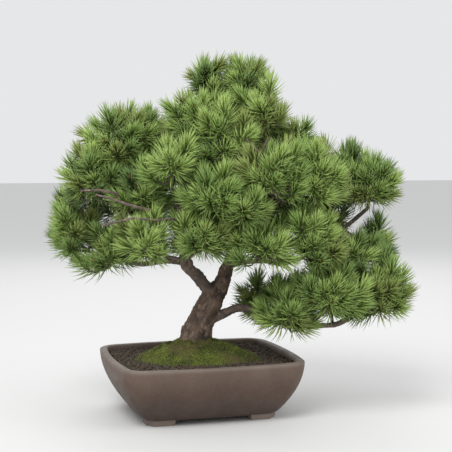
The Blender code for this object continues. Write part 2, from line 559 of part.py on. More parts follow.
class Growth:
    """Grows the sprays of one mass, each as far as can be from those already there."""

    def __init__(self, mass, limbs, stems, taken, seed):
        self.mass, self.taken = mass, taken
        self.draw = random.Random(seed)
        self.stem = stems[mass.name]
        self.limbs = list(limbs.values())
        self.others = [pair for name, path in stems.items() if name != mass.name
                       for pair in zip(path, path[1:])]
        self.sprays = []
        self.needles = [(a, b, STEM_RADIUS, STEM_RADIUS, None)
                        for a, b in zip(self.stem[1:], self.stem[2:])]
        for _ in range(mass.sprays):
            self.add_spray()

    def clear_of_wood(self, start, end, margin):
        return (all(limb.clearance(start, end) > margin for limb in self.limbs)
                and all(segment_gap(start, end, a, b)[0] > margin + STEM_RADIUS
                        for a, b in self.others))

    def candidate(self):
        draw, mass = self.draw, self.mass
        v = Vector((draw.gauss(0, 1), draw.gauss(0, 1), draw.gauss(0.2, 0.9))).normalized()
        top = mass.world(Vector(a * b for a, b in zip(v, mass.half)) * draw.uniform(*TOP_PLACE))
        way = (mass.world(v) - mass.centre + Vector((0, 0, UPWARD))).normalized()
        base = top - way * SHOOT_LENGTH
        root = self.stem[2].lerp(self.stem[3], draw.uniform(0.1, 1.0))
        return v, Spray(root, base, way, draw.uniform(0, math.tau))

    def add_spray(self):
        best, best_gap = None, SPRAY_SPACING
        for _ in range(CANDIDATES):
            v, spray = self.candidate()
            if v.z < LOWEST_AIM:
                continue
            gap = min((spray.top - other).length for other in self.taken) if self.taken else 1.0
            if gap <= best_gap:
                continue
            rooms = [self.mass.room(p) for p in (spray.root, spray.bend, spray.base, spray.top)]
            if min(rooms[0], rooms[1]) < 3 * MM or min(rooms[2], rooms[3]) < 0.7 * CORE_RADIUS:
                continue
            if all(self.clear_of_wood(a, b, radius + 1.2 * MM) for a, b, radius in spray.wood):
                best, best_gap = spray, gap
        if best:
            self.taken.append(best.top)
            self.needles += [(a, b, radius, radius, best) for a, b, radius in best.wood]
            self.sprays.append(best)

    def needle_fits(self, start, end, owner):
        """A needle fits where it stays in the mass and crosses no wood and no other spray."""
        if self.mass.room(end) < 0.8 * MM or self.mass.spread(end) > OVERHANG:
            return False
        for a, b, width_a, width_b, other in self.needles:
            if other is not owner:
                gap, s, t = segment_gap(start, end, a, b)
                if gap < NEEDLE_ROOT * (1 - s) + width_a + (width_b - width_a) * t + 0.3 * MM:
                    return False
        if not self.clear_of_wood(start, end, 1.5 * MM):
            return False
        self.needles.append((start, end, NEEDLE_ROOT, 0, owner))
        return True

    def free(self, point, margin):
        """Whether a point lies in the mass's space and clear of limbs and other stems."""
        return self.mass.room(point) > margin and self.clear_of_wood(point, point, margin)

    def heart_mesh(self):
        """A small uneven heart that the sprays stand out of, with pointed tufts on its faces.

        Each tuft keeps inside the cone of its face seen from the middle, so none cross.
        """
        mass, draw = self.mass, self.draw
        bm = bmesh.new()
        bmesh.ops.create_icosphere(bm, subdivisions=2, radius=1)
        middle = mass.centre
        for vert in bm.verts:
            way = Vector(a * b for a, b in zip(vert.co, mass.half))
            share = HEART_SHARE * draw.uniform(*HEART_UNEVEN)
            while share > 0.1 and not self.free(mass.world(way * share), 0.8 * MM):
                share *= 0.88
            vert.co = mass.world(way * share)
        bmesh.ops.recalc_face_normals(bm, faces=bm.faces)
        for face in list(bm.faces):
            self.draw_tuft(bm, face, middle)
        bm.verts.index_update()
        verts = [vert.co.copy() for vert in bm.verts]
        faces = [tuple(vert.index for vert in face.verts) for face in bm.faces]
        bm.free()
        return verts, faces

    def draw_tuft(self, bm, face, middle):
        root = face.calc_center_median()
        way = (root - middle).normalized()
        bare = any(segment_gap(root, root, s.base, s.top)[0] < TUFT_CLEAR for s in self.sprays)
        if bare or way.z < TUFT_LOWEST or self.draw.random() > TUFT_SHARE:
            return
        reach = self.draw.uniform(*TUFT_REACH)
        length = 4 * MM
        while self.mass.spread(root + way * (length + MM)) < reach and length < 2 * NEEDLE_LENGTH:
            length += MM
        for stretch in (1.0, 0.75, 0.5):
            tip = root + way * length * stretch
            if self.mass.room(tip) > 0.8 * MM and self.clear_of_wood(root, tip, 1.5 * MM):
                bmesh.ops.poke(bm, faces=[face])["verts"][0].co = tip
                self.needles.append((root, tip, TUFT_ROOT, 0, None))
                return

    def spray_mesh(self, spray):
        """A three-sided twig that swells into a slim core, with needles drawn out of its faces."""
        stations = [(spray.root, spray.bend - spray.root, TWIG_RADIUS, 0),
                    (spray.bend, spray.base - spray.root, TWIG_RADIUS, 0),
                    (spray.base, spray.way, TWIG_RADIUS, 0)]
        for step, (share, swell) in enumerate(CORE_SHAPE):
            stations.append((spray.base + spray.way * SHOOT_LENGTH * share, spray.way,
                             CORE_RADIUS * swell, (step + 1) * math.pi / CORE_SIDES))
        side = Vector((math.cos(spray.roll), math.sin(spray.roll), 0.4))
        verts = []
        for point, along, radius, twist in stations:
            along = along.normalized()
            side = (side - along * side.dot(along)).normalized()
            across = along.cross(side)
            for k in range(CORE_SIDES):
                turn = twist + k * math.tau / CORE_SIDES
                verts.append(point + (side * math.cos(turn) + across * math.sin(turn)) * radius)
        verts.append(spray.base + spray.way * SHOOT_LENGTH)
        skin = [tuple(reversed(range(CORE_SIDES)))]
        for row in range(len(stations)):
            for k in range(CORE_SIDES):
                a, b = CORE_SIDES * row + k, CORE_SIDES * row + (k + 1) % CORE_SIDES
                c, d = a + CORE_SIDES, b + CORE_SIDES
                if row < 2:
                    skin.append((a, b, d, c))
                elif row == len(stations) - 1:
                    self.draw_needle(spray, verts, skin, (a, b, CORE_SIDES * len(stations)))
                else:
                    self.draw_needle(spray, verts, skin, (a, b, c))
                    self.draw_needle(spray, verts, skin, (b, d, c))
        return verts, skin

    def draw_needle(self, spray, verts, skin, corners):
        middle = sum((verts[c] for c in corners), Vector()) / 3
        along = (middle - spray.base).dot(spray.way)
        radial = (middle - spray.base - spray.way * along).normalized()
        lean = math.radians(LEAN_LOW + (LEAN_TOP - LEAN_LOW) * along / SHOOT_LENGTH
                            + self.draw.uniform(-3, 3))
        needle = spray.way * math.cos(lean) + radial * math.sin(lean)
        for stretch in (1.0, 0.8, 0.6, 0.4):
            tip = middle + needle * NEEDLE_LENGTH * stretch
            if self.needle_fits(middle, tip, spray):
                a, b, c = corners
                verts.append(tip)
                skin += [(a, b, len(verts) - 1), (b, c, len(verts) - 1), (c, a, len(verts) - 1)]
                return
        skin.append(corners)


def fat_wood(limbs, stems):
    """Slightly fat copies of all limbs and stems, as the foliage is cut clear of them."""
    skins = {name: loft(limb.rings(0.9 * CLEAR)) for name, limb in limbs.items()}
    for name, path in stems.items():
        skins[name] = tube(path, [STEM_RADIUS + 1.5 * CLEAR] * len(path), 4)
    return {name: (verts, faces, BVHTree.FromPolygons(verts, faces))
            for name, (verts, faces) in skins.items()}


def make_mass(mass, limbs, stems, wood, needles, taken, seed):
    growth = Growth(mass, limbs, stems, taken, seed)
    radii = [STEM_RADIUS, STEM_RADIUS, STEM_RADIUS, STEM_RADIUS * 0.8]
    body = add_object(mass.name, *tube(growth.stem, radii, 4), needles)
    heart = add_object("heart", *growth.heart_mesh())
    parts = [add_object("spray", *growth.spray_mesh(s)) for s in growth.sprays]
    combine(body, [heart] + parts, "UNION")
    skin = BVHTree.FromPolygons([v.co for v in body.data.vertices],
                                [p.vertices for p in body.data.polygons])
    cutters = [add_object("cutter", verts, faces) for name, (verts, faces, tree) in wood.items()
               if name != mass.name and skin.overlap(tree)]
    if cutters:
        combine(body, cutters, "DIFFERENCE")


def main():
    clear_scene()
    bark = material("bark", (0.16, 0.10, 0.07), 0.9)
    needles = material("needles", (0.14, 0.25, 0.06), 0.6)
    make_pot(material("stoneware", (0.16, 0.11, 0.09), 0.7))
    make_soil(material("soil", (0.09, 0.06, 0.04), 1.0))
    limbs = make_limbs(bark)
    make_moss(material("moss", (0.16, 0.22, 0.03), 1.0), limbs["trunk"])
    masses = [Mass(name, spec) for name, spec in MASSES.items()]
    for mass in masses:
        for other in masses:
            if other is not mass:
                mass.add_wall(other)
    stems = {mass.name: stem_path(mass, limbs[mass.limb]) for mass in masses}
    wood = fat_wood(limbs, stems)
    taken = []
    for seed, mass in enumerate(masses):
        make_mass(mass, limbs, stems, wood, needles, taken, seed)
    for obj in bpy.data.objects:
        obj.data.shade_smooth()
        obj.data.set_sharp_from_angle(angle=math.radians(40))


main()
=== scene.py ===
import math
import random

import bmesh
import bpy
import numpy as np
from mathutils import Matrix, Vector, noise


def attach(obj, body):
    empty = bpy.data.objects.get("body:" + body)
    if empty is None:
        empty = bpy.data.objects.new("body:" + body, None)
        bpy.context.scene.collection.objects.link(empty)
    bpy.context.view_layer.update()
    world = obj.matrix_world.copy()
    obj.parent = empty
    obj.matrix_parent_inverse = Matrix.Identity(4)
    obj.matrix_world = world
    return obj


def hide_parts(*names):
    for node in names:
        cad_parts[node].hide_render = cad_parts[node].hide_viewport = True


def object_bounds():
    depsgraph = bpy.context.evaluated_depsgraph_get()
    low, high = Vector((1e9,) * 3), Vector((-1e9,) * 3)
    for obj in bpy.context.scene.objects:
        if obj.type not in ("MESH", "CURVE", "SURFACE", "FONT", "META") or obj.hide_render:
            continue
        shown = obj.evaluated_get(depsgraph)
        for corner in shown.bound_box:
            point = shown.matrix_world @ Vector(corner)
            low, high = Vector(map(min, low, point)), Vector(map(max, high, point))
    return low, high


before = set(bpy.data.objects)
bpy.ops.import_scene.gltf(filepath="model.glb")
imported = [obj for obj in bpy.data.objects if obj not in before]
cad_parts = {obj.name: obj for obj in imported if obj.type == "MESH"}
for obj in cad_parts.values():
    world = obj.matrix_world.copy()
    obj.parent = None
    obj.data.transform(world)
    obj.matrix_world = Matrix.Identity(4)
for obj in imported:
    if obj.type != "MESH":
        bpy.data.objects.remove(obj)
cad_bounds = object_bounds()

# A mugo pine bonsai in an unglazed stoneware pot. Lengths are in metres. The places of limbs and
# masses are the source's own, in millimetres in the tree's best view: across to the right, out
# toward the viewer and up from the table.
MM = 0.001
POT_CENTRE = Vector((-0.0478, 0.0070))
VIEW_TURN = math.radians(16.2)
BODY = "root"

# Camera, placed from the pot's centre
CAMERA_PLACE = (-0.462, -1.750, 0.425)
CAMERA_DOWN = math.radians(3.7)
CAMERA_LENS = 87.6
CAMERA_SENSOR = 36

# Studio: each light's name, place, size and power
AREA_LIGHTS = [("key", (-1.2, -1.5, 2.4), 1.3, 50), ("fill", (2.0, -1.2, 1.3), 1.8, 12),
               ("rear", (0.6, 2.0, 1.8), 1.8, 14)]
LIGHT_AIM = Vector((0, 0, 0.3))
FLOOR_SIZE = 30

# Pot
RIM_HEIGHT = 96 * MM
RIM_HALF = (145.7 * MM, 126.9 * MM)
RIM_CORNER = 27 * MM
RIM_BOW = (9.0 * MM, 10.3 * MM)
BASE_HALF = (109.5 * MM, 91.2 * MM)
BASE_CORNER = 20 * MM
BASE_BOW = (3.0 * MM, 3.0 * MM)
SMALLEST_CORNER = 4 * MM
BOW_POWER = 8                       # keeps the bow to the sides and off the corners
WALL = 12 * MM
FLOOR_THICKNESS = 10 * MM
CORNER_STEPS = 14
SIDE_STEPS = 22
WALL_STEPS = 16
FOOT_HEIGHT = 9 * MM
FOOT_SUNK = 3 * MM                  # of the foot's top, inside the pot's floor
FOOT_LENGTH = 47 * MM
FOOT_DEPTH = 38 * MM
FOOT_CHAMFER = 14 * MM
FOOT_TAPER = [(0.0, 0.9), (1.2 * MM, 0.925), (FOOT_HEIGHT * 0.6, 0.96)]     # height, share of plan
SORT_WAY = Vector((1.0, 1.37, 2.11))            # aslant, so that no two places tie

# Soil and moss
SOIL_TOP = 89 * MM
GRAIN_COUNT = 5200
GRAIN_SIZE = (1.0 * MM, 2.4 * MM)
GRAIN_MARGIN = 4 * MM
GRAIN_PLAN_POWER = 9                # of the rounded rectangle that the grains lie in
MOSS_CENTRE = (-5, 8)
MOSS_HALF = (102, 70)
MOSS_RISE = 40
MOSS_EDGE = 2.5
MOSS_CUSHION = 4.2
MOSS_GRAIN = 0.9
MOSS_RINGS = 64
MOSS_SIDES = 200
MOSS_TUFTS = 9000
TUFT_HEIGHT = (1.4, 3.2)
TUFT_RADIUS = (0.5, 1.0)
TUFT_SUNK = 0.4
TUFT_FACES = [(0, 1, 4), (1, 2, 4), (2, 3, 4), (3, 0, 4), (2, 1, 0), (0, 3, 2)]

# Bark
TRUNK_SIDES = 84
TRUNK_SPACING = 2.6 * MM
BOUGH_SIDES = 18
BOUGH_SPACING = 3.2 * MM
ROOT_SWELL = 0.22
ROOT_SWELL_HEIGHT = 45 * MM
PLATES_PER_METRE = 170
PLATE_DEPTH = 1.9
LUMP_DEPTH = 2.6
GRAIN_DEPTH = 0.7
FULL_RELIEF_RADIUS = 14 * MM        # thinner limbs have less relief
BARK_SEED = 4                       # without one, the plates differ from run to run

# Needles and twigs
NEEDLES = 84                        # on each shoot
NEEDLE_LENGTH = 38 * MM
NEEDLE_RADIUS = 0.85 * MM
NEEDLE_SHARES = (0.72, 1.0)         # of the full length
NEEDLE_TOP_SHORTER = 0.18
NEEDLE_RISE = 0.22                  # how far a needle's outer half bends up its shoot, and aside
NEEDLE_SWAY = 0.12
GOLDEN_TURN = 2.39996
SHOOT_LENGTH = 27 * MM
SHOOT_RADIUS = 1.7 * MM
LEAN_LOW = 88                       # degrees off the shoot, at its foot and at its top
LEAN_TOP = 12
LEAN_SPREAD = 7
SPRAY_KINDS = 10
SPRAY_SIZES = (0.88, 1.05)
TWIG_RADIUS = 1.6 * MM
TWIG_SIDE = Vector((0.31, 0.87, 0.38))
STEM_RADII = (3.0, 2.8, 2.6, 2.3, 1.2)
BUD_PLACES = (-2, 1, 4, 7)          # along the shoot from its top
BUD_RADII = (1.5, 2.1, 1.5, 0.3)
BARE_RADIUS = 2.9 * MM

# Where shoots grow
HUB_DROP = 0.55
UPWARD = 0.55
LOWEST_AIM = -0.55
TOP_PLACE = (0.15, 0.84)
FILL_PLACE = (0.84, 1.15)           # tops past that, only where another mass is near
FILL_NEAR = 1.45
FILL_HIGHEST = 0.5                  # the top of the crown keeps its notch
SHOOT_SPACING = 15 * MM
SHOOTS_PER_LITRE = 40
FEWEST_SHOOTS = 6
CANDIDATES = 90
BOX_MARGIN = 0.5 * MM

# Each limb's places and diameters: across, out, up, thick
TRUNK = [(-12, 0, 89.3, 76), (-8, 0, 114, 58), (1, 0, 144, 47), (16, 0, 177, 42),
         (29, -2, 200, 34), (39, -4, 217, 27), (50, -8, 247, 21), (63, -6, 290, 18),
         (72, 4, 355, 14), (79, 9, 424, 11), (72, 6, 476, 8), (67, 2, 506, 5)]
BOUGHS = {
    "bough_left_leader": [(24, 0, 192, 24), (-1, 6, 224, 21), (-24, 14, 253, 17),
                          (-19, -8, 300, 12), (-38, -24, 352, 9), (-66, -16, 400, 7),
                          (-94, -4, 425, 5)],
    "bough_left_low": [(-21, 13, 249, 11), (-55, 16, 252, 10), (-97, 8, 246, 8),
                       (-146, -4, 256, 6)],
    "bough_left_mid": [(-21, 3, 276, 9), (-38, 16, 308, 8.5), (-70, 22, 322, 7.5),
                       (-108, 24, 328, 6)],
    "bough_low_front": [(-14, 10, 240, 9), (-14, 38, 254, 8), (-26, 62, 258, 6)],
    "bough_right_low": [(8, 0, 146, 20), (42, 4, 164, 15), (70, 12, 174, 13), (116, 20, 165, 12),
                        (170, 30, 150, 10), (217, 36, 149, 9), (246, 38, 161, 7.5),
                        (268, 38, 172, 6)],
    "bough_right_mid": [(50, -8, 240, 9), (76, 20, 250, 8), (104, 44, 254, 7.5),
                        (134, 62, 251, 7), (152, 68, 258, 6)],
    "bough_right_up": [(64, -5, 298, 10.5), (118, -24, 284, 9.5), (176, -30, 279, 9),
                       (226, -27, 290, 8), (250, -23, 310, 7), (280, -17, 336, 6)],
    "bough_right_top": [(196, -31, 281, 7), (222, -42, 322, 6), (230, -54, 366, 5)],
    "bough_front": [(66, -3, 312, 8.5), (58, 36, 320, 7.5), (46, 72, 326, 6)],
    "bough_right_front": [(71, 3, 346, 8.5), (104, 42, 344, 7.5), (146, 66, 348, 6)],
    "bough_right_high": [(78, 8, 412, 7.5), (94, 20, 432, 6.5), (112, 26, 446, 5)],
    "bough_upper_left": [(77, 8, 436, 7), (46, 24, 442, 6), (20, 34, 448, 5)],
    "bough_back": [(66, -3, 318, 9), (54, -48, 312, 8), (40, -88, 308, 6)],
    "bough_back_right": [(73, 5, 362, 8.5), (104, -40, 360, 7.5), (136, -68, 366, 6)],
    "bough_centre_left": [(75, 7, 386, 8), (32, 34, 384, 7), (-10, 66, 386, 5.5)],
    "bough_back_left": [(76, 8, 398, 7.5), (40, -40, 398, 6.5), (10, -72, 402, 5)],
}
BARE_TWIGS = [
    [(-30, 96, 326), (-62, 112, 324), (-99, 120, 328), (-124, 118, 322), (-148, 116, 316)],
    [(-70, 104, 338), (-108, 116, 349), (-132, 120, 358), (-156, 118, 364)],
    [(112, 96, 414), (100, 108, 424), (88, 114, 436), (76, 116, 450)],
    [(100, 108, 424), (104, 116, 440), (112, 118, 452)],
    [(-128, 100, 366), (-152, 112, 371), (-180, 116, 370)],
]

# Each mass's centre, half size, limb, and share of the way along the limb where it leaves it
MASSES = {
    "foliage_apex_left": ((10, 5, 552), (30, 32, 45), "trunk", 0.95),
    "foliage_apex_right": ((73, 0, 540), (44, 46, 54), "trunk", 1.0),
    "foliage_apex_back": ((42, -66, 526), (48, 42, 48), "trunk", 0.97),
    "foliage_upper_left": ((-6, 45, 484), (50, 48, 48), "bough_upper_left", 1.0),
    "foliage_upper_front": ((38, 78, 448), (46, 46, 44), "bough_upper_left", 0.6),
    "foliage_right_crest": ((104, 48, 494), (42, 44, 42), "bough_right_high", 0.8),
    "foliage_right_slope": ((152, 8, 444), (48, 48, 38), "bough_right_high", 1.0),
    "foliage_left_top": ((-126, 10, 456), (54, 52, 50), "bough_left_leader", 1.0),
    "foliage_left_top_back": ((-80, -76, 464), (46, 48, 46), "bough_left_leader", 0.93),
    "foliage_left_side": ((-166, 30, 386), (58, 54, 58), "bough_left_mid", 1.0),
    "foliage_front_left": ((-37, 116, 412), (40, 40, 38), "bough_centre_left", 1.0),
    "foliage_left_inner": ((-86, 52, 368), (50, 46, 50), "bough_left_mid", 0.75),
    "foliage_far_left": ((-207, -15, 297), (51, 56, 57), "bough_left_low", 1.0),
    "foliage_left_heart": ((-106, 0, 412), (42, 46, 36), "bough_left_leader", 0.88),
    "foliage_left_under": ((-146, 22, 268), (46, 46, 42), "bough_left_low", 0.85),
    "foliage_low_left": ((-86, 86, 291), (46, 48, 40), "bough_low_front", 1.0),
    "foliage_low_centre": ((2, 92, 296), (58, 52, 42), "bough_low_front", 0.75),
    "foliage_centre_left": ((22, 114, 368), (46, 50, 48), "bough_front", 1.0),
    "foliage_centre": ((70, 112, 350), (38, 48, 42), "bough_front", 0.7),
    "foliage_centre_right": ((122, 112, 390), (52, 54, 56), "bough_right_front", 0.8),
    "foliage_right_front": ((190, 92, 386), (50, 50, 52), "bough_right_front", 1.0),
    "foliage_right_spikes": ((228, -56, 400), (44, 46, 44), "bough_right_top", 1.0),
    "foliage_right_upper": ((281, -14, 376), (58, 54, 54), "bough_right_up", 1.0),
    "foliage_mid_left": ((102, 96, 288), (50, 48, 44), "bough_right_mid", 0.7),
    "foliage_mid_right": ((174, 82, 288), (52, 50, 52), "bough_right_mid", 1.0),
    "foliage_right_inner": ((246, 26, 266), (46, 44, 38), "bough_right_up", 0.66),
    "foliage_right_small": ((299, -46, 272), (42, 44, 36), "bough_right_up", 0.78),
    "foliage_low_back": ((108, -34, 182), (52, 48, 48), "bough_right_low", 0.36),
    "foliage_low_front": ((138, 62, 174), (54, 46, 44), "bough_right_low", 0.46),
    "foliage_low_middle": ((203, 84, 206), (54, 48, 54), "bough_right_low", 0.66),
    "foliage_low_end": ((295, 40, 204), (54, 52, 60), "bough_right_low", 1.0),
    "foliage_low_right_back": ((222, -68, 208), (54, 46, 42), "bough_right_low", 0.8),
    "foliage_centre_back": ((50, -46, 398), (48, 36, 46), "bough_back_left", 0.42),
    "foliage_back_top": ((66, -92, 458), (60, 52, 50), "trunk", 0.84),
    "foliage_back_left": ((-24, -104, 408), (62, 56, 56), "bough_back_left", 1.0),
    "foliage_back_left_low": ((-112, -98, 352), (56, 52, 50), "bough_left_leader", 0.62),
    "foliage_back_low": ((-6, -132, 320), (54, 52, 44), "bough_back", 1.0),
    "foliage_back_right": ((146, -98, 404), (56, 52, 50), "bough_back_right", 1.0),
    "foliage_back_right_low": ((112, -142, 322), (50, 48, 46), "bough_back", 0.75),
    "foliage_back_right_side": ((208, -104, 322), (54, 50, 46), "bough_back_right", 0.8),
}

# Masses joined into one piece, by how their names start; the first match holds
REGIONS = {
    "back": ("back",),
    "top": ("apex", "upper", "right_crest"),
    "middle": ("centre", "low_centre", "mid", "right_front"),
    "left": ("left", "far_left", "front_left"),
    "right": ("right",),
    "low": ("low",),
}

# Greens, from the brightest to the darkest: lit and shaded copies of the needles' green, that is painted
# light and painted shade, one of them tinted olive
NEEDLE_COLOURS = {
    "needles_bright": (0.340, 0.470, 0.125),
    "needles_fresh": (0.260, 0.385, 0.095),
    "needles_mid": (0.195, 0.300, 0.075),
    "needles_olive": (0.255, 0.325, 0.085),
    "needles_deep": (0.135, 0.215, 0.060),
    "needles_shade": (0.095, 0.160, 0.060),
}


def turn_view(place):
    """Swaps between the tree's view and the pot's axes, either way round."""
    c, s = math.cos(VIEW_TURN), math.sin(VIEW_TURN)
    return place[0] * c - place[1] * s, -place[0] * s - place[1] * c, place[2]


def view_point(across, out, up):
    """A place in the tree's view, in mm, as a point in metres."""
    x, y, z = turn_view((across, out, up))
    return Vector((x * MM + POT_CENTRE.x, y * MM + POT_CENTRE.y, z * MM))


def place_piece(piece, slot, *replaced):
    """Rides a piece on the one body and hides the nodes that it stands for; the slot is not used."""
    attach(piece, BODY)
    if replaced:
        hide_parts(*replaced)


# Materials

def new_material(name, roughness, colour=None):
    """A material and its shader."""
    mat = bpy.data.materials.new(name)
    mat.use_nodes = True
    shader = mat.node_tree.nodes["Principled BSDF"]
    shader.inputs["Roughness"].default_value = roughness
    if colour:
        shader.inputs["Base Color"].default_value = (*colour, 1)
    return mat, shader


class Nodes:
    """Adds and joins shader nodes in the tree of one material or group."""

    def __init__(self, tree):
        self.tree = tree
        self.coords = tree.nodes.new("ShaderNodeTexCoord").outputs["Object"]

    def join(self, socket, target):
        self.tree.links.new(socket, target)

    def add(self, kind, inputs=(), **settings):
        """A node with its settings, and with each input joined to a socket or set to a value."""
        node = self.tree.nodes.new(kind)
        for key, value in settings.items():
            setattr(node, key, value)
        for key, value in dict(inputs).items():
            if isinstance(value, bpy.types.NodeSocket):
                self.join(value, node.inputs[key])
            else:
                node.inputs[key].default_value = value
        return node

    def scaled(self, factors):
        return self.add("ShaderNodeMapping", {"Vector": self.coords, "Scale": factors}).outputs[0]

    def noise(self, scale, detail, vector=None):
        return self.add("ShaderNodeTexNoise", {"Vector": vector or self.coords, "Scale": scale,
                                               "Detail": detail}).outputs["Fac"]

    def cells(self, scale, feature="F1", vector=None, output="Distance"):
        return self.add("ShaderNodeTexVoronoi", {"Vector": vector or self.coords, "Scale": scale},
                        feature=feature).outputs[output]

    def ramp(self, value, stops):
        node = self.add("ShaderNodeValToRGB", {"Fac": value})
        elements = node.color_ramp.elements
        while len(elements) < len(stops):
            elements.new(0.5)
        for element, (place, colour) in zip(elements, stops):
            element.position = place
            element.color = (*colour, 1) if isinstance(colour, tuple) else (colour,) * 3 + (1,)
        return node.outputs["Color"]

    def mix(self, factor, a, b, blend="MIX"):
        node = self.add("ShaderNodeMix", data_type="RGBA", blend_type=blend)
        for socket, value in ((node.inputs[0], factor), (node.inputs[6], a), (node.inputs[7], b)):
            if isinstance(value, bpy.types.NodeSocket):
                self.join(value, socket)
            else:
                socket.default_value = (*value, 1) if isinstance(value, tuple) else value
        return node.outputs[2]

    def bump(self, height, strength, distance, normal=None):
        node = self.add("ShaderNodeBump", {"Height": height, "Strength": strength,
                                           "Distance": distance})
        if normal:
            self.join(normal, node.inputs["Normal"])
        return node.outputs["Normal"]

    def group(self, tree, **inputs):
        """A node group, with its inputs given by name, an underscore standing for a space."""
        return self.add("ShaderNodeGroup", {key.replace("_", " "): value
                                            for key, value in inputs.items()}, node_tree=tree)


def new_group(name, inputs, outputs):
    """A node group with named sockets: its nodes, its inputs and its outputs."""
    tree = bpy.data.node_groups.new(name, "ShaderNodeTree")
    for label, kind, value in inputs:
        socket = tree.interface.new_socket(label, in_out="INPUT", socket_type=kind)
        socket.default_value = value
    for label, kind in outputs:
        tree.interface.new_socket(label, in_out="OUTPUT", socket_type=kind)
    return (Nodes(tree), tree.nodes.new("NodeGroupInput").outputs,
            tree.nodes.new("NodeGroupOutput").inputs)


def mottling_group():
    """Soft patches: noise that runs from one value to another between two of its levels."""
    n, given, out = new_group("mottling",
                              [("Scale", "NodeSocketFloat", 30), ("Detail", "NodeSocketFloat", 4),
                               ("From Level", "NodeSocketFloat", 0), ("To Level", "NodeSocketFloat", 1),
                               ("From Value", "NodeSocketFloat", 0), ("To Value", "NodeSocketFloat", 1),
                               ("Stretch", "NodeSocketVector", (1, 1, 1))],
                              [("Value", "NodeSocketFloat")])
    patches = n.noise(given["Scale"], given["Detail"], n.scaled(given["Stretch"]))
    spread = n.add("ShaderNodeMapRange",
                   {"Value": patches, "From Min": given["From Level"], "From Max": given["To Level"],
                    "To Min": given["From Value"], "To Max": given["To Value"]})
    n.join(spread.outputs["Result"], out["Value"])
    return n.tree


def bark_group():
    """Flaky plates, rust brown to grey, with dark cracks between them."""
    n, given, out = new_group("bark_plates", [("Grey", "NodeSocketFloat", 0.15)],
                              [("Color", "NodeSocketColor"), ("Normal", "NodeSocketVector")])
    plates = n.scaled((1, 1, 0.55))
    cracks = n.cells(230, "DISTANCE_TO_EDGE", plates)
    tone = n.cells(230, "F1", plates, "Color")
    base = n.mix(n.ramp(n.noise(75, 7), [(0.35, 0.0), (0.68, 1.0)]), (0.034, 0.020, 0.014),
                 (0.200, 0.125, 0.085))
    base = n.mix(given["Grey"], base, (0.15, 0.13, 0.115))
    flakes = n.mix(n.ramp(tone, [(0.55, 0.0), (0.9, 0.55)]), base, (0.33, 0.24, 0.18))
    n.join(n.mix(n.ramp(cracks, [(0.0, 0.55), (0.07, 0.0)]), flakes, (0.05, 0.033, 0.025)),
           out["Color"])
    rough = n.bump(n.noise(420, 5), 0.5, 0.8 * MM)
    n.join(n.bump(cracks, 0.6, 1.2 * MM, rough), out["Normal"])
    return n.tree


def moss_group():
    """Patches from a dark to a light green, browned here and there."""
    n, given, out = new_group("moss_patches", [("Dark", "NodeSocketColor", (0.05, 0.07, 0.01, 1)),
                                               ("Light", "NodeSocketColor", (0.2, 0.25, 0.03, 1))],
                              [("Color", "NodeSocketColor"), ("Normal", "NodeSocketVector")])
    green = n.mix(n.ramp(n.noise(38, 5), [(0.32, 0.0), (0.62, 1.0)]), given["Dark"], given["Light"])
    brown = n.ramp(n.noise(22, 5), [(0.5, 0.0), (0.68, 0.75)])
    n.join(n.mix(brown, green, (0.13, 0.10, 0.04)), out["Color"])
    n.join(n.bump(n.noise(900, 4), 0.8, 1.2 * MM), out["Normal"])
    return n.tree


def stoneware(mottling):
    """Brown unglazed clay: speckled and paler on the feet, with painted shade darkening the wall toward
    its foot and a painted highlight paling the rim.
    """
    mat, shader = new_material("stoneware_clay", 0.62)
    n = Nodes(mat.node_tree)
    height = n.add("ShaderNodeSeparateXYZ", {0: n.coords}).outputs["Z"]
    share = n.add("ShaderNodeMath", {0: height, 1: RIM_HEIGHT}, operation="DIVIDE").outputs[0]
    # By height: the feet paler, then painted shade, darkest just over the feet where the wall tucks
    # under and lightening up the wall, and a painted highlight along the rim.
    clay = n.ramp(share, [(0.0, (0.22, 0.165, 0.14)), (0.085, (0.20, 0.15, 0.125)),
                          (0.11, (0.061, 0.036, 0.026)), (0.62, (0.097, 0.060, 0.043)),
                          (0.93, (0.122, 0.079, 0.059)), (0.99, (0.17, 0.132, 0.108))])
    clouds = n.group(mottling, Scale=9, Detail=5, From_Level=0.3, To_Level=0.72,
                     From_Value=0.78, To_Value=1.12)
    streaks = n.group(mottling, Scale=30, Detail=3, From_Level=0.35, To_Level=0.7,
                      From_Value=0.93, To_Value=1.06, Stretch=(1, 1, 0.12))
    specks = n.group(mottling, Scale=900, Detail=2, From_Level=0.62, To_Level=0.72, To_Value=0.55)
    colour = n.mix(1.0, clay, clouds.outputs[0], "MULTIPLY")
    colour = n.mix(1.0, colour, streaks.outputs[0], "MULTIPLY")
    n.join(n.mix(specks.outputs[0], colour, (0.25, 0.2, 0.17)), shader.inputs["Base Color"])
    wear = n.group(mottling, Scale=60, Detail=4, From_Level=0.3, To_Level=0.7,
                   From_Value=0.5, To_Value=0.75)
    n.join(wear.outputs[0], shader.inputs["Roughness"])
    grit = n.group(mottling, Scale=1400, Detail=3)
    dents = n.group(mottling, Scale=70, Detail=4)
    fine = n.bump(grit.outputs[0], 0.25, 0.3 * MM)
    n.join(n.bump(dents.outputs[0], 0.25, 0.8 * MM, fine), shader.inputs["Normal"])
    return mat


def bark(name, plates, grey):
    """Bark with a share of grey, less on the old trunk than on young wood."""
    mat, shader = new_material(name, 0.9)
    n = Nodes(mat.node_tree)
    group = n.group(plates, Grey=grey)
    n.join(group.outputs["Color"], shader.inputs["Base Color"])
    n.join(group.outputs["Normal"], shader.inputs["Normal"])
    return mat


def bud_scales(mottling):
    """Rust-brown scales, a little uneven."""
    mat, shader = new_material("bud_scales", 0.7)
    n = Nodes(mat.node_tree)
    patches = n.group(mottling, Scale=500, Detail=3, From_Level=0.35, To_Level=0.65)
    n.join(n.mix(patches.outputs[0], (0.34, 0.16, 0.070), (0.38, 0.18, 0.080)),
           shader.inputs["Base Color"])
    return mat


